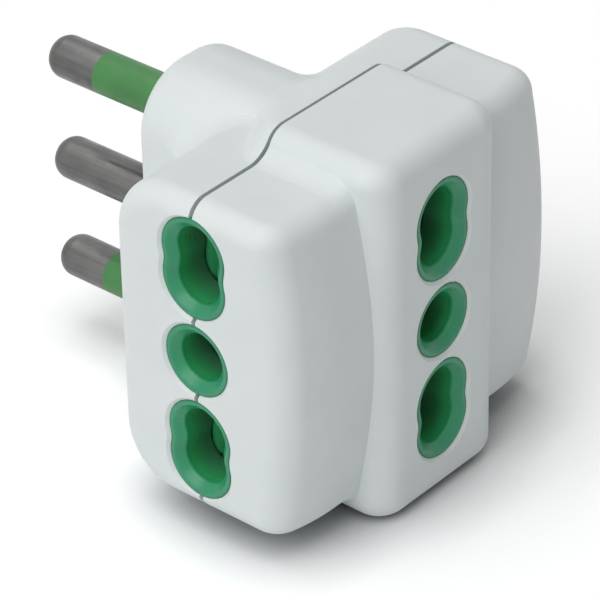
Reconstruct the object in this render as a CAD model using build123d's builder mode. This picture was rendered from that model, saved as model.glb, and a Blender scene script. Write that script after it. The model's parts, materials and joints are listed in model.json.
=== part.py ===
from build123d import *
import math
import os

# Driving dimensions in millimetres. The origin is the middle of the plug face, +Y along the pins, +Z up.

# Plug
pin_dia = 5.0
pin_length = 19.0
pin_offset = 13.0
pin_tip_round = 1.9
sleeve_reach = 11.5
sleeve_fit = 0.02
core_dia = 3.6
root_relief = 0.25
flange_dia = 7.0
flange_thick = 1.7
shank_dia = 4.0
rivet_dia = 3.0
rivet_head_dia = 4.6
rivet_head_thick = 0.8
fit = 0.05

# Housing
wall = 1.8
plug_wall = 2.0
half_width = 22.2
centre_rise = 2.9
neck_depth = 20.5
arm_front_depth = 13.6
arm_rear_depth = 11.3
arm_edge_round = 2.5
arm_corner_round = 3.6
arm_side_round = 24.0
arm_side_turn = 14.0
arm_barrel_round = 90.0
arm_rear_round = 7.0
block_step = 1.7
block_half_width = 10.2
block_corner_round = 3.7
block_edge_round = 2.7
saddle_round = 3.8
web_round = 5.5
cove_sink = 1.0
cove_bite = 0.02
neck_half_width = 8.3
neck_flat = 1.0
neck_drop = 1.8
neck_start = 7.0
neck_steps = 6
neck_rim_round = 2.0
least_round = 0.3
cove_steps = 60
cove_turns = 12
cove_run = 6
seam_gap = 0.5
seam_step = 0.1
tongue_length = 1.5
tongue_inset = 0.9
rib_thick = 0.9
rib_overlap = 2.1

# Sockets
small_pin_dia = 4.0
hole_clear = 0.6
inner_pitch = 9.5
rim_width = 1.4
rim_margin = 0.05
aperture_edge = 0.35
aperture_angle = 45.0
waist_round = 3.0
collar_recess = 0.3
funnel = 0.9
insert_gap = 0.2
insert_side_gap = 1.4
insert_round = 4.0
insert_edge_round = 1.2
insert_thick = 3.4
guide_thick = 1.4
guide_half_width = 5.0
cover_thick = 1.0
cover_stake_dia = 1.0
cover_stake_offset = 3.5

# Shutters and their springs
shutter_travel = 4.5
shutter_clear = 0.3
slide_gap = 0.2
stop_gap = 0.1
blade_thin = 0.7
blade_crest = 0.8
tie_width = 0.9
tie_thick = 0.9
tab_thick = 1.0
post_thick = 0.8
post_half_height = 1.65
bridge_thick = 1.1
peg_dia = 1.4
peg_length = 1.2
spring_dia = 2.3
spring_wire = 0.3
spring_turns = 8.0

# Bus bars
bar_thick = 0.6
bar_gap = 0.3
leaf_thick = 0.5
leaf_squeeze = 0.2
leaf_step = 0.4
leaf_space = 0.7
leaf_margin = 0.5
tail_half_width = 2.5
tab_plane = 8.0
tab_half_width = 3.4

# Pin plate and its stakes
plate_thick = 2.5
plate_gap = 0.15
stake_dia = 2.4
stake_rise = 0.4

# Sizes that follow from the driving ones

hole_dia = pin_dia + hole_clear
collar_dia = hole_dia + 2 * rim_width
aperture_dia = collar_dia + 2 * fit
outer_pitch = pin_offset
arm_half_height = outer_pitch + aperture_dia / 2 + rim_margin + wall
centre_half_height = arm_half_height + centre_rise
front_depth = arm_front_depth + block_step
neck_half_height = centre_half_height - neck_drop
neck_round = neck_half_width - neck_flat
root_dia = pin_dia - 2 * root_relief

seam_y = -neck_depth
front_y = seam_y - front_depth
flange_y = -plug_wall
plate_y = flange_y - flange_thick
tab_back_y = seam_y + tab_plane + bar_thick

leaf_grip = pin_dia - leaf_squeeze
leaf_grip_small = small_pin_dia - leaf_squeeze
bar_half_width = leaf_grip / 2 + leaf_thick + leaf_margin
bar_level = arm_half_height - wall - bar_gap - bar_thick
earth_level = (pin_dia + leaf_squeeze) / 2

# Depths in a socket are measured inwards from the housing's face.
insert_back = wall + insert_thick
cover_back = front_depth - bar_half_width - bar_gap
cover_front = cover_back - cover_thick
room_half_width = block_half_width - wall - slide_gap
insert_half_width = block_half_width - wall - insert_side_gap
insert_half_height = arm_half_height - wall - insert_gap
guide_inner = insert_half_height - guide_thick
guide_middle = insert_half_height - guide_thick / 2
bar_half_length = half_width - cover_back - bar_gap

blade_low = pin_dia / 2 + shutter_clear - shutter_travel
blade_high = room_half_width - tie_width - shutter_travel
blade_start = inner_pitch - hole_dia / 2
blade_end = guide_inner - slide_gap
blade_front = insert_back + slide_gap
blade_back = cover_front - slide_gap
tab_face = blade_low + tab_thick
post_face = room_half_width - post_thick
post_depth = blade_back - tie_thick - slide_gap
spring_height = inner_pitch / 2
spring_depth = (insert_back + blade_back - tie_thick) / 2

plan = Plane((0, seam_y, 0))
seam_face = Plane(origin=(0, seam_y, 0), x_dir=(1, 0, 0), z_dir=(0, -1, 0))
side_face = Plane(origin=(0, seam_y, 0), x_dir=(0, 1, 0), z_dir=(1, 0, 0))

# Each socket's plane lies on the housing's face, with x the way its shutter slides and z out of the face.
sockets = {
    "left": Plane(origin=(-half_width, seam_y, 0), x_dir=(0, 1, 0), z_dir=(-1, 0, 0)),
    "front": Plane(origin=(0, front_y, 0), x_dir=(1, 0, 0), z_dir=(0, -1, 0)),
    "right": Plane(origin=(half_width, seam_y, 0), x_dir=(0, 1, 0), z_dir=(1, 0, 0)),
}
pin_heights = {"line": pin_offset, "earth": 0, "neutral": -pin_offset}

os.makedirs("parts", exist_ok=True)


def save(piece, name):
    """Label a finished piece and write it under its own name."""
    piece.label = name
    export_step(piece, f"parts/{name}.step")


def inner_round(radius, inset):
    """Radius of a rounded edge as seen from inside a wall."""
    return max(radius - inset, least_round)


def slab(start, end):
    """A block that fills everything from one depth to another, measured from the seam towards the plug."""
    with BuildPart() as block:
        with BuildSketch(seam_face.offset(-start)):
            Rectangle(4 * half_width, 4 * centre_half_height)
        extrude(amount=start - end)
    return block.part


def neck_size(depth):
    """Half width, half height and rounding of the centre behind the seam, where it stands back by a step."""
    share = (1 - math.cos(math.pi * min(depth / neck_start, 1))) / 2
    width = block_half_width + share * (neck_half_width - block_half_width)
    seam_top = centre_half_height - seam_step
    top = seam_top + share * (neck_half_height - seam_top)
    rounding = block_edge_round + share * (neck_round - block_edge_round)
    return width, top, rounding


def neck_reach(depth, height):
    """Half width of the centre at a depth behind the seam and a height."""
    width, top, rounding = neck_size(depth)
    above = min(max(height - top + rounding, 0), rounding)
    return width - rounding + math.sqrt(rounding**2 - above**2)


def cove_section(depth, height, turn, radius, level=0):
    """Section of a cove: a concave arc that leaves the arm's surface and meets the centre's side."""
    back = math.sin(math.radians(turn))
    up = math.cos(math.radians(turn))
    meets = []
    for step in range(1, cove_steps + 1):
        rise = radius * step / cove_steps
        side = neck_reach(depth + back * rise, abs(height + up * rise))
        meets.append((side + math.sqrt(rise * (2 * radius - rise)), rise))
    reach, rise = max(meets)
    bend = math.degrees(math.acos(1 - rise / radius))
    inner = neck_half_width / 2
    low = level - cove_sink
    with BuildLine() as outline:
        base = Line((inner, low), (reach - cove_bite, low))
        foot = Line(base @ 1, (reach - cove_bite, level - cove_bite))
        arc = JernArc(foot @ 1, (-1, 0), radius, -bend)
        top = Line(arc @ 1, (inner, (arc @ 1).Y))
        Line(top @ 1, base @ 0)
    make_face(outline.edges())


def beyond_seam(edge):
    """True for an edge in front of the seam, and not on it."""
    return edge.center().Y < seam_y - fit


def arms_front(inset, saddle=False):
    """Front half of both arms: barrel-shaped, with rounded ends; the saddle leads up to the block."""
    width = half_width - inset
    depth = arm_front_depth - inset
    height = arm_half_height - inset
    side_round = arm_side_round - inset
    corner_round = inner_round(arm_corner_round, inset)
    turn = math.sin(math.radians(arm_side_turn))
    run = side_round * turn + corner_round * (1 - turn)
    with BuildPart() as barrel:
        with BuildSketch(plan):
            with BuildLine():
                front = Line((0, -depth), (width - run, -depth))
                side = JernArc(front @ 1, front % 1, side_round, arm_side_turn)
                corner = JernArc(side @ 1, side % 1, corner_round, 90 - arm_side_turn)
                end = Line(corner @ 1, (width, 0))
                Line(end @ 1, (0, 0))
                Line((0, 0), front @ 0)
            make_face()
            mirror(about=Plane.YZ)
        barrel_axis = Axis((0, seam_y + arm_barrel_round - arm_front_depth, 0), (1, 0, 0))
        revolve(axis=barrel_axis, revolution_arc=360)
    with BuildPart() as form:
        with BuildSketch(seam_face):
            Rectangle(2 * width, 2 * height)
            if saddle:
                cove_section(0, arm_half_height, 0, saddle_round, level=height)
                mirror(about=Plane.XZ)
                mirror(about=Plane.YZ)
        extrude(amount=arm_front_depth + wall)
        add(barrel.part, mode=Mode.INTERSECT)
        if arm_edge_round > inset:
            outer = form.edges().filter_by(beyond_seam)
            outer = outer.filter_by(lambda e: abs(e.center().Z) > height - least_round)
            outer = outer.filter_by(lambda e: abs(e.center().X) > block_half_width)
            inner_lines = outer.filter_by(Axis.Y).filter_by(lambda e: abs(e.center().X) < width - fit)
            fillet(outer - inner_lines, arm_edge_round - inset)
    return form.part


def front_block(inset):
    """Front half of the centre block, which carries the front socket."""
    width = block_half_width - inset
    depth = front_depth - inset
    with BuildPart() as form:
        with BuildSketch(plan) as outline:
            with Locations((0, -depth / 2)):
                Rectangle(2 * width, depth)
            fillet(outline.vertices().group_by(Axis.Y)[0], inner_round(block_corner_round, inset))
        extrude(amount=centre_half_height - inset, both=True)
        rim = form.faces().filter_by(Axis.Z).edges().filter_by(beyond_seam)
        fillet(rim, inner_round(block_edge_round, inset))
    return form.part


def arms_rear(inset):
    """Rear half of both arms: a flat back with generously rounded long edges."""
    width = half_width - inset
    depth = arm_rear_depth - inset
    height = arm_half_height - inset
    with BuildPart() as form:
        with BuildSketch(side_face.offset(-width)) as section:
            with Locations((depth / 2, 0)):
                Rectangle(depth, 2 * height)
            fillet(section.vertices().group_by(Axis.X)[-1], inner_round(arm_rear_round, inset))
        extrude(amount=2 * width)
        rim = form.faces().filter_by(Axis.X).edges().filter_by(lambda e: e.center().Y > seam_y + fit)
        fillet(rim, inner_round(arm_edge_round, inset))
    return form.part


def neck_section(inset):
    """Section of the neck that carries the plug."""
    RectangleRounded(2 * (neck_half_width - inset), 2 * (neck_half_height - inset), neck_round - inset)


def neck(inset, back_wall):
    """Rear half of the centre: it narrows from the block's section to the neck."""
    with BuildPart() as form:
        for step in range(neck_steps + 1):
            depth = neck_start * step / neck_steps
            width, top, rounding = neck_size(depth)
            with BuildSketch(seam_face.offset(-depth)):
                RectangleRounded(2 * (width - inset), 2 * (top - inset), inner_round(rounding, inset))
        loft(ruled=True)
        with BuildSketch(seam_face.offset(-neck_start)):
            neck_section(inset)
        extrude(amount=neck_start + back_wall - neck_depth)
        if back_wall == 0:
            fillet(form.faces().sort_by(Axis.Y)[-1].edges(), neck_rim_round)
    return form.part


def neck_coves():
    """Coves between the arms and the centre, from the seam above over the back to the seam below."""
    straight = arm_rear_depth - arm_rear_round
    upright = arm_half_height - arm_rear_round
    upper = [(straight * step / cove_run, arm_half_height, 0) for step in range(cove_run)]
    for step in range(cove_turns + 1):
        turn = 90 * step / cove_turns
        depth = straight + arm_rear_round * math.sin(math.radians(turn))
        upper.append((depth, upright + arm_rear_round * math.cos(math.radians(turn)), turn))
    lower = [(depth, -height, 180 - turn) for depth, height, turn in reversed(upper)]
    with BuildPart() as form:
        for depth, height, turn in upper + lower:
            radius = saddle_round + (web_round - saddle_round) * depth / arm_rear_depth
            normal = (0, -math.cos(math.radians(turn)), math.sin(math.radians(turn)))
            with BuildSketch(Plane(origin=(0, seam_y + depth, height), x_dir=(1, 0, 0), z_dir=normal)):
                cove_section(depth, height, turn, radius)
        loft(ruled=True)
        mirror(about=Plane.YZ)
    return form.part


def openings(diameter):
    """A socket's openings: a round hole in the middle, and waisted ones above and below."""
    radius = diameter / 2
    waist = (inner_pitch + outer_pitch) / 2
    half_pitch = (outer_pitch - inner_pitch) / 2
    bend = math.sqrt((radius + waist_round) ** 2 - half_pitch**2)
    share = radius / (radius + waist_round)
    side = bend * share
    high = outer_pitch - half_pitch * share
    low = inner_pitch + half_pitch * share
    Circle(radius)
    with BuildLine() as outline:
        ThreePointArc((side, high), (0, outer_pitch + radius), (-side, high))
        ThreePointArc((-side, high), (waist_round - bend, waist), (-side, low))
        ThreePointArc((-side, low), (0, inner_pitch - radius), (side, low))
        ThreePointArc((side, low), (bend - waist_round, waist), (side, high))
    make_face(outline.edges())
    mirror(about=Plane.XZ)


def apertures(plane):
    """The three openings of one socket, cut through the housing's wall, with bevelled outer edges."""
    with BuildPart() as cutter:
        with BuildSketch(plane.offset(wall)):
            openings(aperture_dia)
        extrude(amount=-2 * wall - insert_edge_round)
        with BuildSketch(plane.offset(-aperture_edge)):
            openings(aperture_dia)
        extrude(amount=aperture_edge + fit, taper=-aperture_angle)
    return cutter.part


def cover_ribs(outer, wall_depth, overlap_depth):
    """Upright ribs that stand on the inside of the outer form's wall and keep the side covers in place."""
    rib_face = half_width - cover_back
    rib_low = spring_height + post_half_height + slide_gap
    with BuildPart() as ribs:
        with BuildSketch(plan.offset(rib_low)):
            with Locations((rib_face - rib_thick / 2, (wall_depth + overlap_depth) / 2)):
                Rectangle(rib_thick, abs(wall_depth - overlap_depth))
            mirror(about=Plane.YZ)
        extrude(amount=outer_pitch - rib_low)
        mirror(about=Plane.XY)
        add(outer, mode=Mode.INTERSECT)
    return ribs.part


# Front half of the housing

front_outer = arms_front(0, saddle=True) + front_block(0)
front_cavity = arms_front(wall) + front_block(wall)
rebate_inset = tongue_inset - fit
front_rebate = (arms_front(rebate_inset) + front_block(rebate_inset)) & slab(-tongue_length - fit, wall)
socket_cutters = [apertures(plane) for plane in sockets.values()]

with BuildPart() as front_shell:
    add(front_outer)
    add(front_cavity, mode=Mode.SUBTRACT)
    add(front_rebate, mode=Mode.SUBTRACT)
    add(slab(-seam_gap / 2, wall), mode=Mode.SUBTRACT)
    add(socket_cutters, mode=Mode.SUBTRACT)
    add(cover_ribs(front_outer, -front_depth, rib_overlap - room_half_width))
save(front_shell.part, "front_shell")

# Rear half of the housing

tongue_outer = arms_front(tongue_inset) + front_block(tongue_inset)
tongue = (tongue_outer & slab(-tongue_length, 0)) - front_cavity
rear_outer = arms_rear(0) + neck(0, 0) + neck_coves()
tongue_root = extrude(tongue.faces().sort_by(Axis.Y)[-1], amount=wall) & rear_outer
rear_cavity = arms_rear(wall) + neck(wall, plug_wall)

with BuildPart() as rear_shell:
    add(rear_outer)
    add(rear_cavity, mode=Mode.SUBTRACT)
    add(slab(-wall, seam_gap / 2), mode=Mode.SUBTRACT)
    add(tongue)
    add(tongue_root)
    add(cover_ribs(rear_outer, arm_rear_depth, room_half_width - rib_overlap))
    with BuildSketch(Plane.XZ):
        with Locations([(0, height) for height in pin_heights.values()]):
            Circle(pin_dia / 2 + fit)
    extrude(amount=plug_wall, mode=Mode.SUBTRACT)
    with BuildSketch(Plane.XZ.offset(plug_wall)):
        with Locations((0, pin_offset / 2), (0, -pin_offset / 2)):
            Circle(stake_dia / 2)
    extrude(amount=flange_thick + plate_thick + stake_rise)
    add(socket_cutters, mode=Mode.SUBTRACT)
save(rear_shell.part, "rear_shell")


def spring_peg(plane, face, direction):
    """A short peg that centres one end of the spring; it joins the part that is being built."""
    root = plane.from_local_coords((face, spring_height, -spring_depth))
    with BuildSketch(Plane(origin=root, z_dir=plane.x_dir * direction)) as section:
        Circle(peg_dia / 2)
    extrude(section.sketch, amount=peg_length)


def socket_insert(plane):
    """A socket's insert: rims in the housing's openings, holes for the pins, and guides for the shutter."""
    stop_middle = blade_low - stop_gap - tab_thick / 2
    with BuildPart() as insert:
        with BuildSketch(plane.offset(-wall)):
            RectangleRounded(2 * insert_half_width, 2 * insert_half_height, insert_round)
        extrude(amount=-insert_thick)
        face = insert.faces().sort_by(Axis(plane.origin, plane.z_dir))[-1]
        fillet(face.edges(), insert_edge_round)
        with BuildSketch(plane.offset(-collar_recess)):
            openings(collar_dia)
        extrude(amount=collar_recess - wall - insert_edge_round)
        with BuildSketch(plane.offset(-insert_back)):
            with Locations((0, guide_middle), (0, -guide_middle)):
                Rectangle(2 * guide_half_width, guide_thick)
        extrude(amount=insert_back - cover_front)
        with BuildSketch(plane.offset(-cover_front)):
            with GridLocations(2 * cover_stake_offset, 2 * guide_middle, 2, 2):
                Circle(cover_stake_dia / 2)
        extrude(amount=-cover_thick)
        with BuildSketch(plane.offset(-insert_back)):
            with Locations((stop_middle, spring_height)):
                Rectangle(tab_thick, 2 * post_half_height)
            with Locations((post_face + post_thick / 2, spring_height)):
                Rectangle(post_thick, 2 * post_half_height)
        extrude(amount=insert_back - post_depth)
        bridge = room_half_width - insert_half_width + post_thick
        with BuildSketch(plane.offset(-insert_back)):
            with Locations((room_half_width - bridge / 2, spring_height)):
                Rectangle(bridge, 2 * post_half_height)
        extrude(amount=bridge_thick)
        spring_peg(plane, post_face, -1)
        with BuildSketch(plane.offset(-collar_recess)):
            openings(hole_dia)
        extrude(amount=collar_recess - insert_back, mode=Mode.SUBTRACT)
        rims = insert.faces().sort_by(Axis(plane.origin, plane.z_dir))[-3:]
        chamfer([rim.inner_wires()[0].edges() for rim in rims], funnel)
    return insert.part


def shutter_cover(plane):
    """The plate that closes a socket's shutter space, staked to the insert's guides."""
    with BuildPart() as cover:
        with BuildSketch(plane.offset(-cover_front)):
            RectangleRounded(2 * room_half_width, 2 * insert_half_height, insert_round)
        extrude(amount=-cover_thick)
        with BuildSketch(plane.offset(-cover_front)):
            openings(hole_dia)
            with GridLocations(2 * cover_stake_offset, 2 * guide_middle, 2, 2):
                Circle(cover_stake_dia / 2 + fit)
        extrude(amount=-cover_thick, mode=Mode.SUBTRACT)
    return cover.part


def socket_shutter(plane):
    """A shutter: a sloped blade behind each outer opening, joined by a tie, and a tab for the spring."""
    across = Plane(origin=plane.origin, x_dir=plane.x_dir, z_dir=-plane.y_dir)
    tab_low = spring_height - post_half_height
    with BuildPart() as shutter:
        for start in (blade_start, -blade_end):
            with BuildSketch(across.offset(start)):
                with BuildLine():
                    Polyline(
                        (blade_low, -blade_back),
                        (blade_high, -blade_back),
                        (blade_high, -blade_front),
                        (blade_high - blade_crest, -blade_front),
                        (blade_low, blade_thin - blade_back),
                        close=True,
                    )
                make_face()
            extrude(amount=blade_end - blade_start)
        with BuildSketch(plane.offset(-blade_back)):
            with Locations((blade_high + tie_width / 2, 0)):
                Rectangle(tie_width, 2 * blade_end)
        extrude(amount=tie_thick)
        with BuildSketch(plane.offset(-blade_back)):
            with Locations((tab_face - tab_thick / 2, (tab_low + blade_start + fit) / 2)):
                Rectangle(tab_thick, blade_start + fit - tab_low)
        extrude(amount=blade_back - blade_front)
        spring_peg(plane, tab_face, 1)
    return shutter.part


def shutter_spring(plane):
    """The coil spring that pushes a shutter back over the openings."""
    coil_start = tab_face + spring_wire / 2
    coil_length = post_face - tab_face - spring_wire
    with BuildPart() as spring:
        with BuildLine() as coil:
            Helix(
                pitch=coil_length / spring_turns,
                height=coil_length,
                radius=spring_dia / 2,
                center=plane.from_local_coords((coil_start, spring_height, -spring_depth)),
                direction=plane.x_dir,
            )
        with BuildSketch(Plane(origin=coil.line @ 0, z_dir=coil.line % 0)):
            Circle(spring_wire / 2)
        sweep(is_frenet=True)
    return spring.part


# Sockets, each with an insert, a shutter, its spring and a cover

for side, plane in sockets.items():
    save(socket_insert(plane), f"{side}_insert")
    save(socket_shutter(plane), f"{side}_shutter")
    save(shutter_spring(plane), f"{side}_shutter_spring")
    save(shutter_cover(plane), f"{side}_cover")


def straight_leaf(side):
    """Section of one earth leaf, on one side of the pin."""
    inner = side * leaf_grip / 2
    outer = inner + side * leaf_thick
    low = -leaf_grip / 2
    with BuildLine() as leaf:
        Polyline((inner, low), (inner, earth_level), (outer, earth_level), (outer, low), close=True)
    make_face(leaf.edges())


def stepped_leaf(side):
    """Section of one leaf that grips the thick pin above and the thin pin below."""
    inner = side * leaf_grip / 2
    inner_small = side * leaf_grip_small / 2
    thick = side * leaf_thick
    bend = (inner_pitch + outer_pitch) / 2
    low = inner_pitch - small_pin_dia / 2
    with BuildLine() as leaf:
        Polyline(
            (inner, bar_level),
            (inner, bend),
            (inner_small, bend - leaf_step),
            (inner_small, low),
            (inner_small + thick, low),
            (inner_small + thick, bend - leaf_step),
            (inner + thick, bend),
            (inner + thick, bar_level),
            close=True,
        )
    make_face(leaf.edges())


def bus_bar(level, leaf, pin_height):
    """A bar over the pins of the three sockets, with their grip leaves, and a tab riveted to a plug pin."""
    side_leaf_start = leaf_grip / 2 + leaf_thick + leaf_space
    tab_low = pin_height - tab_half_width
    tab_high = level + bar_thick
    with BuildPart() as bar:
        with BuildSketch(plan.offset(level)):
            Rectangle(2 * bar_half_length, 2 * bar_half_width)
            with Locations((0, tab_plane / 2)):
                Rectangle(2 * tail_half_width, tab_plane)
        extrude(amount=bar_thick)
        with BuildSketch(seam_face.offset(-bar_half_width)):
            leaf(1)
            leaf(-1)
        extrude(amount=2 * bar_half_width)
        for start in (side_leaf_start, -bar_half_length):
            with BuildSketch(side_face.offset(start)):
                leaf(1)
                leaf(-1)
            extrude(amount=bar_half_length - side_leaf_start)
        with BuildSketch(seam_face.offset(-tab_plane)):
            with Locations((0, (tab_low + tab_high) / 2)):
                Rectangle(2 * tab_half_width, tab_high - tab_low)
            with Locations((0, pin_height)):
                Circle(rivet_dia / 2 + fit, mode=Mode.SUBTRACT)
        extrude(amount=-bar_thick)
    return bar.part


# Bus bars

line_bus_bar = bus_bar(bar_level, stepped_leaf, pin_heights["line"])
save(line_bus_bar, "line_bus_bar")
save(mirror(line_bus_bar, about=Plane.XY), "neutral_bus_bar")
save(bus_bar(earth_level, straight_leaf, pin_heights["earth"]), "earth_bus_bar")


def rod(height, start, end, diameter):
    """A round length of a pin between two places along Y; it joins the part that is being built."""
    with BuildSketch(Plane(origin=(0, start, height), x_dir=(1, 0, 0), z_dir=(0, -1, 0))) as section:
        Circle(diameter / 2)
    extrude(section.sketch, amount=start - end)


def plug_pin(height, waist_dia):
    """A plug pin, turned in one piece: rounded tip, waist, root, flange, shank and rivet."""
    rivet_y = tab_back_y - bar_thick
    with BuildPart() as pin:
        rod(height, pin_length, sleeve_reach, pin_dia)
        fillet(pin.faces().sort_by(Axis.Y)[-1].edges(), pin_tip_round)
        rod(height, sleeve_reach, 0, waist_dia)
        rod(height, 0, flange_y, min(waist_dia, root_dia))
        rod(height, flange_y, plate_y, flange_dia)
        rod(height, plate_y, tab_back_y, shank_dia)
        rod(height, tab_back_y, rivet_y, rivet_dia)
        rod(height, rivet_y, rivet_y - rivet_head_thick, rivet_head_dia)
    return pin.part


def pin_sleeve(height):
    """The insulating sleeve around the waist of a live pin, flush with the pin's tip."""
    with BuildPart() as sleeve:
        rod(height, sleeve_reach, 0, pin_dia)
        rod(height, 0, flange_y, root_dia)
        with BuildSketch(Plane(origin=(0, sleeve_reach, height), x_dir=(1, 0, 0), z_dir=(0, -1, 0))):
            Circle(core_dia / 2 + sleeve_fit)
        extrude(amount=sleeve_reach - flange_y, mode=Mode.SUBTRACT)
    return sleeve.part


# Plug pins, the outer two with sleeves

save(plug_pin(pin_heights["earth"], pin_dia), "earth_pin")
for name in ("line", "neutral"):
    save(plug_pin(pin_heights[name], core_dia), f"{name}_pin")
    save(pin_sleeve(pin_heights[name]), f"{name}_pin_sleeve")

# Plate that holds the pins in the neck

with BuildPart() as pin_plate:
    with BuildSketch(Plane.XZ.offset(-plate_y)):
        neck_section(wall + plate_gap)
        with Locations([(0, height) for height in pin_heights.values()]):
            Circle(shank_dia / 2 + fit, mode=Mode.SUBTRACT)
        with Locations((0, pin_offset / 2), (0, -pin_offset / 2)):
            Circle(stake_dia / 2 + fit, mode=Mode.SUBTRACT)
    extrude(amount=plate_thick)
save(pin_plate.part, "pin_plate")
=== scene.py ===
import bpy
import json
import math
from collections import namedtuple
from mathutils import Matrix, Vector

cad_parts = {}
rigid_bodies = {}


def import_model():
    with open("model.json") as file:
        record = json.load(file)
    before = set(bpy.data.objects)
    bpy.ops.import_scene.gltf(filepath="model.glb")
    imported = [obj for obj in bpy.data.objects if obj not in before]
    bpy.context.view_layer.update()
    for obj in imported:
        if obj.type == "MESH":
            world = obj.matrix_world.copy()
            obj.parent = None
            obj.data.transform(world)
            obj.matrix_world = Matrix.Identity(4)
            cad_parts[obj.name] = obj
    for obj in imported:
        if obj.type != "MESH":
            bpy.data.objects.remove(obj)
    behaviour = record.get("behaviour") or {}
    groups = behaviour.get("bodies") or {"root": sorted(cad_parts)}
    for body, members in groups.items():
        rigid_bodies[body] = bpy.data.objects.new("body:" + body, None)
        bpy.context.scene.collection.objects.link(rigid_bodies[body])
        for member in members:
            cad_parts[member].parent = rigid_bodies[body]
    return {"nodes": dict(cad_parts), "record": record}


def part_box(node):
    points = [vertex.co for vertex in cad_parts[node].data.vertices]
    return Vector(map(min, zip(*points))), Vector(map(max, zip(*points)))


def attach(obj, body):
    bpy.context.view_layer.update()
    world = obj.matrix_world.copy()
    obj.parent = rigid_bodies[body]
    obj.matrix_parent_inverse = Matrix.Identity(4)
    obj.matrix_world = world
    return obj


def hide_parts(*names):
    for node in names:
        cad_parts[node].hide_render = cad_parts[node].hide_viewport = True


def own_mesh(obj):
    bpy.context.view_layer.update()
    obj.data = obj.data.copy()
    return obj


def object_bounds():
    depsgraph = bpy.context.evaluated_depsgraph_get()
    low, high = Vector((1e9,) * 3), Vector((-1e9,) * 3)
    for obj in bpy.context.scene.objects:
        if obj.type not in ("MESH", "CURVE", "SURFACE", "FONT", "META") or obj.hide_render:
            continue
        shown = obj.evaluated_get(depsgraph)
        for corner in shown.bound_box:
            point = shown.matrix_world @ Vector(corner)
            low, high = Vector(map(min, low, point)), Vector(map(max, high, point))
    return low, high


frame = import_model()
cad_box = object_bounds()
nodes = frame["nodes"]
record = frame["record"]

# Lengths are in metres, apart from the camera's lens and sensor, which Blender takes in millimetres
MM = 0.001
UP = Vector((0, 0, 1))
PURE_WHITE = (1, 1, 1, 1)

# Housing: the joint between its halves, painted with a band of shade, and its softened edges
SEAM_Y = -20.5 * MM
SEAM_CORE = 0.10 * MM
SEAM_EDGE = 0.26 * MM
SEAM_PAINTED_SHADE = (0.065, 0.075, 0.082)
EDGE_ROUND = 0.1 * MM
ROUND_SAMPLES = 6

# Inserts: softened rims, and the depths at which a hole has its rim's colour, its mouth's brighter green
# of painted light, and its inmost colour
RIM_ROUND = 0.5 * MM
RIM_DEPTH = 0.9 * MM
MOUTH_DEPTH = 1.9 * MM
INMOST_DEPTH = 4.6 * MM

# Springs: a round wire, wound with closed turns at both ends
WIRE_RADIUS = 0.15 * MM
WIRE_SIDES = 10
COIL_TURNS = 8
COIL_END_TURNS = 1
COIL_STEPS = 36

# Colours, each a lighter and a darker one that a mottle mixes
HOUSING_WHITE = ((0.775, 0.82, 0.815), (0.74, 0.79, 0.79))
RIM_GREEN = ((0.026, 0.315, 0.150), (0.018, 0.265, 0.124))
# The mouth's green is brighter than the rim's: painted light on the hole walls
MOUTH_PAINTED_LIGHT_GREEN = ((0.050, 0.470, 0.160), (0.036, 0.400, 0.130))
INMOST_GREEN = ((0.075, 0.270, 0.140), (0.058, 0.225, 0.115))
INSERT_GREENS = (RIM_GREEN, MOUTH_PAINTED_LIGHT_GREEN, INMOST_GREEN)
# The shutter's green is as bright as the mouth's: painted light deep in the hole
SHUTTER_GREEN = ((0.048, 0.400, 0.150), (0.034, 0.340, 0.122))
INNER_WHITE = ((0.62, 0.62, 0.58), (0.55, 0.55, 0.52))
SLEEVE_GREEN = ((0.056, 0.240, 0.062), (0.040, 0.190, 0.046))
# The nickel is far darker than bare nickel: a painted reflection of dark surroundings
NICKEL = ((0.19, 0.192, 0.186), (0.095, 0.097, 0.095))
BRASS = ((0.78, 0.56, 0.23), (0.62, 0.41, 0.15))
STEEL = ((0.52, 0.52, 0.52), (0.40, 0.40, 0.41))

# Moulded plastics: the range of roughness, and the grain's scale per metre and its depth
Moulding = namedtuple("Moulding", "roughness grain depth")
HOUSING_MOULDING = Moulding(roughness=(0.40, 0.52), grain=5200, depth=0.012 * MM)
INSERT_MOULDING = Moulding(roughness=(0.26, 0.38), grain=4200, depth=0.008 * MM)
SHUTTER_MOULDING = Moulding(roughness=(0.34, 0.46), grain=4200, depth=0.008 * MM)
INNER_MOULDING = Moulding(roughness=(0.42, 0.55), grain=3600, depth=0.012 * MM)
SLEEVE_MOULDING = Moulding(roughness=(0.36, 0.50), grain=3600, depth=0.010 * MM)
PLASTIC_IOR = 1.49

# Drawn metals: the range of roughness, and the scale along each axis that draws out the streaks
Drawing = namedtuple("Drawing", "roughness stretch")
PIN_DRAWING = Drawing(roughness=(0.28, 0.44), stretch=(1.0, 0.05, 1.0))
CONTACT_DRAWING = Drawing(roughness=(0.22, 0.40), stretch=(0.05, 1.0, 1.0))
WIRE_DRAWING = Drawing(roughness=(0.20, 0.34), stretch=(1.0, 1.0, 1.0))

# Noises: the scale per metre, the octaves of detail, and the share that each finer octave keeps
MOTTLE_NOISE = (160, 4.0, 0.55)
GLOSS_NOISE = (420, 3.0, 0.55)
WAVE_NOISE = (95, 2.0, 0.55)
STREAK_NOISE = (1500, 3.0, 0.55)
PATCH_NOISE = (260, 5.0, 0.55)
DULL_NOISE = (520, 4.0, 0.55)
GRAIN_DETAIL = 2.0
GRAIN_SHARE = 0.6

# The values between which most of a noise lies
NOISE_LOW = 0.3
NOISE_HIGH = 0.7

# Bumps: how high waves and streaks are, and how strongly each kind shows
WAVE_HEIGHT = 0.06 * MM
WAVE_STRENGTH = 0.35
GRAIN_STRENGTH = 0.5
STREAK_HEIGHT = 0.02 * MM
STREAK_STRENGTH = 0.5
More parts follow.
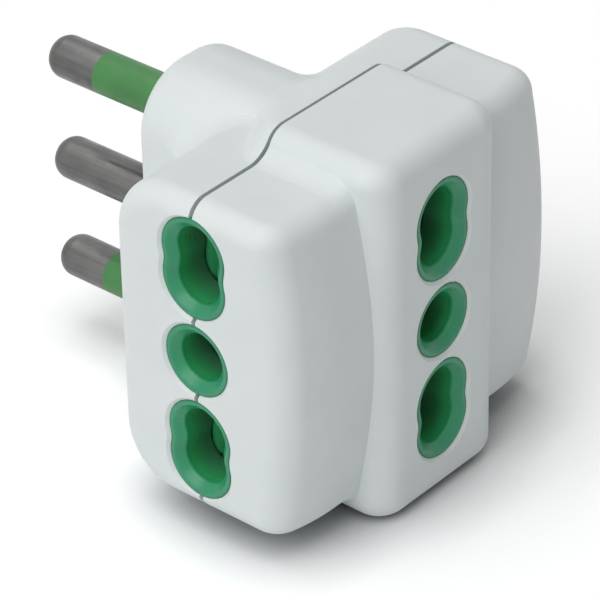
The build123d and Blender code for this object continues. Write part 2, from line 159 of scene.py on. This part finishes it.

# Floor: its colours for light, for the camera and in the painted shadow round the part, and where it
# turns plain white
FLOOR_SIZE = 1.6
FLOOR_WHITE = (0.92, 0.925, 0.93)
FLOOR_SEEN = (1.34, 1.345, 1.35)
FLOOR_PAINTED_SHADOW = (0.02, 0.022, 0.026)
PAINTED_SHADOW_REACH = 9.0 * MM
PAINTED_SHADOW_SAMPLES = 12
PAINTED_SHADOW_POWER = 0.8
FLOOR_NEAR = 36.0 * MM
FLOOR_FAR = 80.0 * MM

# World: its strength as a light, and where it is seen
WORLD_LIGHT = 0.20
WORLD_SEEN = 1.0

# Camera: turned left of the front and looking down, with a slight roll
VIEW_TARGET = Vector((0, SEAM_Y, 0))
VIEW_AZIMUTH = math.radians(-49.65)
VIEW_ELEVATION = math.radians(32.82)
VIEW_ROLL = math.radians(-0.87)
VIEW_DISTANCE = 409.25 * MM
VIEW_SIDE = -3.508 * MM
VIEW_RISE = -3.012 * MM
LENS = 229.55
SENSOR = 36.0
CLIP_NEAR = 0.01
CLIP_FAR = 10.0

# Lamps, each with its azimuth and elevation in degrees, its width in metres and its power in watts
LAMP_DISTANCE = 1.2
LAMPS = {
    "key": (-90, 34, 1.0, 6.5),
    "top": (-90, 78, 1.0, 4.8),
    "back": (180, 65, 0.8, 1.9),
}

# The Mix node's sockets for a share and for colours, which it tells apart by number alone
MIX_SHARE = 0
MIX_FIRST = 6
MIX_SECOND = 7
MIX_RESULT = 2


def new_material(name):
    """A new material, its node tree and its shader."""
    material = bpy.data.materials.new(name)
    material.use_nodes = True
    tree = material.node_tree
    return material, tree, tree.nodes["Principled BSDF"]


def fill(tree, node, inputs):
    """Set a node's inputs, by name or number, each to a value or to another node's output."""
    for key, value in inputs.items():
        if isinstance(value, bpy.types.NodeSocket):
            tree.links.new(value, node.inputs[key])
        else:
            node.inputs[key].default_value = value


def add_node(tree, kind, inputs):
    """A new node with its inputs set."""
    node = tree.nodes.new(kind)
    fill(tree, node, inputs)
    return node


def object_coordinates(tree):
    """Coordinates in metres, fixed to the piece."""
    return tree.nodes.new("ShaderNodeTexCoord").outputs["Object"]


def stretched(tree, place, scale):
    """Coordinates scaled along each axis."""
    return add_node(tree, "ShaderNodeMapping", {"Vector": place, "Scale": scale}).outputs["Vector"]


def axis_values(tree, place):
    """The values of coordinates along X, Y and Z."""
    return add_node(tree, "ShaderNodeSeparateXYZ", {"Vector": place}).outputs


def noise(tree, place, scale, detail, share):
    """A noise value that varies over 1/scale metres."""
    inputs = {"Vector": place, "Scale": scale, "Detail": detail, "Roughness": share}
    return add_node(tree, "ShaderNodeTexNoise", inputs).outputs["Fac"]


def remap(tree, value, start, end, low=0.0, high=1.0):
    """A value between start and end, mapped to the range from low to high."""
    inputs = {"Value": value, "From Min": start, "From Max": end, "To Min": low, "To Max": high}
    return add_node(tree, "ShaderNodeMapRange", inputs).outputs["Result"]


def spread(tree, value, low=0.0, high=1.0):
    """A noise value, mapped to a range."""
    return remap(tree, value, NOISE_LOW, NOISE_HIGH, low, high)


def calculate(tree, operation, *values):
    """A sum, a maximum or the like, of numbers and nodes' outputs."""
    node = add_node(tree, "ShaderNodeMath", dict(enumerate(values)))
    node.operation = operation
    return node.outputs["Value"]


def mean(tree, first, second):
    """The mean of two values."""
    return calculate(tree, "MULTIPLY", calculate(tree, "ADD", first, second), 0.5)


def mix_colours(tree, share, first, second):
    """Two colours, each a triple or a node's output, mixed by a share."""
    inputs = {MIX_SHARE: share}
    for key, colour in ((MIX_FIRST, first), (MIX_SECOND, second)):
        inputs[key] = (*colour, 1) if isinstance(colour, tuple) else colour
    node = add_node(tree, "ShaderNodeMix", inputs)
    node.data_type = "RGBA"
    return node.outputs[MIX_RESULT]


def mottled(tree, place, colours):
    """A lighter and a darker colour, mixed by a faint mottle."""
    return mix_colours(tree, spread(tree, noise(tree, place, *MOTTLE_NOISE)), *colours)


def bump(tree, value, height, strength, normal=None):
    """A bump of a given height, on top of another normal if there is one."""
    inputs = {"Height": value, "Distance": height, "Strength": strength}
    if normal is not None:
        inputs["Normal"] = normal
    return add_node(tree, "ShaderNodeBump", inputs).outputs["Normal"]


def softened(tree, radius):
    """The surface's normal, rounded over at edges and inner corners."""
    node = add_node(tree, "ShaderNodeBevel", {"Radius": radius})
    node.samples = ROUND_SAMPLES
    return node.outputs["Normal"]


def seen_directly(tree):
    """1 for rays from the camera, and for those in a reflection or through glass; 0 for light."""
    path = tree.nodes.new("ShaderNodeLightPath").outputs
    seen = calculate(tree, "MAXIMUM", path["Is Camera Ray"], path["Is Glossy Ray"])
    return calculate(tree, "MAXIMUM", seen, path["Is Transmission Ray"])


def moulded_finish(tree, shader, place, colour, moulding, normal=None):
    """Moulded plastic: an uneven gloss, slight waves and a fine spark-eroded grain."""
    gloss = spread(tree, noise(tree, place, *GLOSS_NOISE), *moulding.roughness)
    waves = bump(tree, noise(tree, place, *WAVE_NOISE), WAVE_HEIGHT, WAVE_STRENGTH, normal)
    grain = noise(tree, place, moulding.grain, GRAIN_DETAIL, GRAIN_SHARE)
    surface = bump(tree, grain, moulding.depth, GRAIN_STRENGTH, waves)
    fill(tree, shader, {"Base Color": colour, "Roughness": gloss, "Normal": surface, "IOR": PLASTIC_IOR})


def moulded_plastic(name, colours, moulding):
    """Plain moulded plastic with a faint mottle in its colour."""
    material, tree, shader = new_material(name)
    place = object_coordinates(tree)
    moulded_finish(tree, shader, place, mottled(tree, place, colours), moulding)
    return material


def housing_plastic(name, colours, moulding):
    """The housing's plastic: softened edges, and painted shade along the groove where its halves meet.
    """
    material, tree, shader = new_material(name)
    place = object_coordinates(tree)
    from_seam = calculate(tree, "SUBTRACT", axis_values(tree, place)["Y"], SEAM_Y)
    # The seam's grey is painted shade in the groove between the halves, darkest at its middle
    seam_shade = remap(tree, calculate(tree, "ABSOLUTE", from_seam), SEAM_CORE, SEAM_EDGE, 1.0, 0.0)
    colour = mix_colours(tree, seam_shade, mottled(tree, place, colours), SEAM_PAINTED_SHADE)
    moulded_finish(tree, shader, place, colour, moulding, softened(tree, EDGE_ROUND))
    return material


def socket_depth(tree, place):
    """How far a point lies inwards from the nearest of the faces that carry a socket."""
    axes = axis_values(tree, place)
    from_ends = calculate(tree, "SUBTRACT", cad_box[1].x, calculate(tree, "ABSOLUTE", axes["X"]))
    from_front = calculate(tree, "SUBTRACT", axes["Y"], cad_box[0].y)
    return calculate(tree, "MINIMUM", from_ends, from_front)


def insert_plastic(name, greens, moulding):
    """The inserts' plastic: a softened rim around each hole, and a green that changes with the depth:
    brighter below the rim, as painted light, and darker again deepest in.
    """
    material, tree, shader = new_material(name)
    place = object_coordinates(tree)
    rim, mouth, inmost = [mottled(tree, place, green) for green in greens]
    inwards = socket_depth(tree, place)
    past_rim = remap(tree, inwards, RIM_DEPTH, MOUTH_DEPTH)
    past_mouth = remap(tree, inwards, MOUTH_DEPTH, INMOST_DEPTH)
    # Below the rim the holes' walls take a brighter green, painted light, which darkens again deepest in
    colour = mix_colours(tree, past_mouth, mix_colours(tree, past_rim, rim, mouth), inmost)
    moulded_finish(tree, shader, place, colour, moulding, softened(tree, RIM_ROUND))
    return material


def drawn_metal(name, colours, drawing):
    """Drawn or rolled metal: fine streaks along its length, with dull patches from handling."""
    material, tree, shader = new_material(name)
    place = object_coordinates(tree)
    streaks = noise(tree, stretched(tree, place, drawing.stretch), *STREAK_NOISE)
    patches = spread(tree, noise(tree, place, *PATCH_NOISE))
    colour = mix_colours(tree, mean(tree, patches, spread(tree, streaks)), *colours)
    dull = spread(tree, noise(tree, place, *DULL_NOISE), *drawing.roughness)
    surface = bump(tree, streaks, STREAK_HEIGHT, STREAK_STRENGTH)
    fill(tree, shader, {"Base Color": colour, "Roughness": dull, "Normal": surface, "Metallic": 1.0})
    return material


def make_materials():
    """The finish of each of the record's material slots."""
    finishes = {
        "housing_white": (housing_plastic, HOUSING_WHITE, HOUSING_MOULDING),
        "insert_green": (insert_plastic, INSERT_GREENS, INSERT_MOULDING),
        "shutter_green": (moulded_plastic, SHUTTER_GREEN, SHUTTER_MOULDING),
        "inner_plastic": (moulded_plastic, INNER_WHITE, INNER_MOULDING),
        "sleeve_green": (moulded_plastic, SLEEVE_GREEN, SLEEVE_MOULDING),
        "pin_nickel": (drawn_metal, NICKEL, PIN_DRAWING),
        "contact_brass": (drawn_metal, BRASS, CONTACT_DRAWING),
        "spring_steel": (drawn_metal, STEEL, WIRE_DRAWING),
    }
    return {slot: make(slot, colours, finish) for slot, (make, colours, finish) in finishes.items()}


def dress_nodes(materials):
    """Give every CAD node the finish of its slot."""
    for part in record["subparts"]:
        piece = nodes[part["node"]]
        piece.data.materials.clear()
        piece.data.materials.append(materials[part["material_slot"]])


def coil_rise(turn, length):
    """How far along the spring a turn of its wire lies: closed end turns, and open ones between them."""
    step = 2 * WIRE_RADIUS
    closed = COIL_END_TURNS * step
    if turn < COIL_END_TURNS:
        return turn * step
    if turn > COIL_TURNS - COIL_END_TURNS:
        return length - (COIL_TURNS - turn) * step
    share = (turn - COIL_END_TURNS) / (COIL_TURNS - 2 * COIL_END_TURNS)
    return closed + share * (length - 2 * closed)


def coil_mesh(name, start, along, length, radius):
    """The wire of a compression spring that starts at a point and winds along an axis."""
    side = along.cross(UP)
    points = []
    count = COIL_TURNS * COIL_STEPS
    for step in range(count + 1):
        turn = step / COIL_STEPS
        angle = 2 * math.pi * turn
        radial = side * math.cos(angle) + UP * math.sin(angle)
        rise = WIRE_RADIUS + coil_rise(turn, length - 2 * WIRE_RADIUS)
        centre = start + along * rise + radial * (radius - WIRE_RADIUS)
        for corner in range(WIRE_SIDES):
            way = 2 * math.pi * corner / WIRE_SIDES
            points.append(centre + (radial * math.cos(way) + along * math.sin(way)) * WIRE_RADIUS)
    faces = []
    for step in range(count):
        low = step * WIRE_SIDES
        high = low + WIRE_SIDES
        for corner in range(WIRE_SIDES):
            follow = (corner + 1) % WIRE_SIDES
            faces.append((low + corner, low + follow, high + follow, high + corner))
    faces.append(tuple(reversed(range(WIRE_SIDES))))
    faces.append(tuple(range(count * WIRE_SIDES, (count + 1) * WIRE_SIDES)))
    mesh = bpy.data.meshes.new(name)
    mesh.from_pydata(points, [], faces)
    mesh.validate()
    mesh.shade_smooth()
    return mesh


def make_spring(joint, material):
    """A shutter's spring: a coil of wire in place of its node, fixed to the joint's parent body."""
    node = joint["deforming_nodes"][0]["node"]
    low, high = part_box(node)
    size = high - low
    along = Vector(joint["axis"])
    length = size.dot(along)
    middle = (low + high) / 2
    start = middle - along * length / 2
    mesh = coil_mesh(f"{node}_coil", start, along, length, size.z / 2)
    mesh.materials.append(material)
    spring = bpy.data.objects.new(f"{node}_coil", mesh)
    bpy.context.scene.collection.objects.link(spring)
    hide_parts(node)
    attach(spring, joint["parent"])
    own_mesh(spring)


def far_from_part(tree):
    """0 on the floor around the part, rising to 1 at a distance from it."""
    under_part = (VIEW_TARGET.x, VIEW_TARGET.y, cad_box[0].z)
    node = add_node(tree, "ShaderNodeVectorMath", {0: object_coordinates(tree), 1: under_part})
    node.operation = "DISTANCE"
    return remap(tree, node.outputs["Value"], FLOOR_NEAR, FLOOR_FAR)


def floor_material():
    """A matt white with a painted shadow, darkened by occlusion close to the part for the camera, that
    looks plain white far from it.
    """
    material, tree, shader = new_material("floor_white")
    tree.nodes.remove(shader)
    # Painted shadow: the floor's colour for the camera darkens where the part hems it in
    shade = add_node(tree, "ShaderNodeAmbientOcclusion", {"Distance": PAINTED_SHADOW_REACH})
    shade.samples = PAINTED_SHADOW_SAMPLES
    openness = calculate(tree, "POWER", shade.outputs["AO"], PAINTED_SHADOW_POWER)
    seen = mix_colours(tree, openness, FLOOR_PAINTED_SHADOW, FLOOR_SEEN)
    colour = mix_colours(tree, seen_directly(tree), FLOOR_WHITE, seen)
    matt = add_node(tree, "ShaderNodeBsdfDiffuse", {"Color": colour})
    plain = add_node(tree, "ShaderNodeEmission", {"Color": PURE_WHITE})
    share = calculate(tree, "MULTIPLY", far_from_part(tree), seen_directly(tree))
    shaders = {0: share, 1: matt.outputs["BSDF"], 2: plain.outputs["Emission"]}
    blend = add_node(tree, "ShaderNodeMixShader", shaders)
    fill(tree, tree.nodes["Material Output"], {"Surface": blend.outputs["Shader"]})
    return material


def make_floor():
    """The floor on which the part stands."""
    half = FLOOR_SIZE / 2
    level = cad_box[0].z
    corners = [(-half, -half, level), (half, -half, level), (half, half, level), (-half, half, level)]
    mesh = bpy.data.meshes.new("floor")
    mesh.from_pydata(corners, [], [(0, 1, 2, 3)])
    mesh.materials.append(floor_material())
    floor = bpy.data.objects.new("floor", mesh)
    bpy.context.scene.collection.objects.link(floor)


def make_world():
    """Even light from all round, white where it is seen directly or in a reflection."""
    world = bpy.data.worlds.new("studio")
    bpy.context.scene.world = world
    world.use_nodes = True
    tree = world.node_tree
    strength = remap(tree, seen_directly(tree), 0.0, 1.0, WORLD_LIGHT, WORLD_SEEN)
    fill(tree, tree.nodes["Background"], {"Color": PURE_WHITE, "Strength": strength})


def direction(azimuth, elevation):
    """The way to a point that is turned from the front, towards +X, and raised."""
    flat = math.cos(elevation)
    return Vector((math.sin(azimuth) * flat, -math.cos(azimuth) * flat, math.sin(elevation)))


def area_light(name, azimuth, elevation, size, power):
    """A soft square light on a sphere around the part, aimed at it."""
    way = direction(math.radians(azimuth), math.radians(elevation))
    data = bpy.data.lights.new(name, "AREA")
    data.shape = "SQUARE"
    data.size = size
    data.energy = power
    light = bpy.data.objects.new(name, data)
    light.location = VIEW_TARGET + way * LAMP_DISTANCE
    light.rotation_mode = "QUATERNION"
    light.rotation_quaternion = (-way).to_track_quat("-Z", "Y")
    bpy.context.scene.collection.objects.link(light)


def make_camera():
    """The camera, aimed so that the part sits in the picture as in the photograph."""
    back = direction(VIEW_AZIMUTH, VIEW_ELEVATION)
    right = Vector((math.cos(VIEW_AZIMUTH), math.sin(VIEW_AZIMUTH), 0))
    up = back.cross(right)
    aim = VIEW_TARGET + right * VIEW_SIDE + up * VIEW_RISE
    place = VIEW_TARGET + back * VIEW_DISTANCE
    away = (place - aim).normalized()
    across = up.cross(away).normalized()
    level = Matrix((across, away.cross(across), away)).transposed()
    turn = level @ Matrix.Rotation(VIEW_ROLL, 3, "Z")
    data = bpy.data.cameras.new("camera")
    data.lens = LENS
    data.sensor_width = SENSOR
    data.clip_start = CLIP_NEAR
    data.clip_end = CLIP_FAR
    camera = bpy.data.objects.new("camera", data)
    camera.matrix_world = Matrix.Translation(place) @ turn.to_4x4()
    bpy.context.scene.collection.objects.link(camera)
    bpy.context.scene.camera = camera


bpy.context.scene.view_settings.view_transform = "Standard"
materials = make_materials()
dress_nodes(materials)
for joint in record["behaviour"]["joints"]:
    make_spring(joint, materials["spring_steel"])
make_floor()
make_world()
for name, lamp in LAMPS.items():
    area_light(name, *lamp)
make_camera()
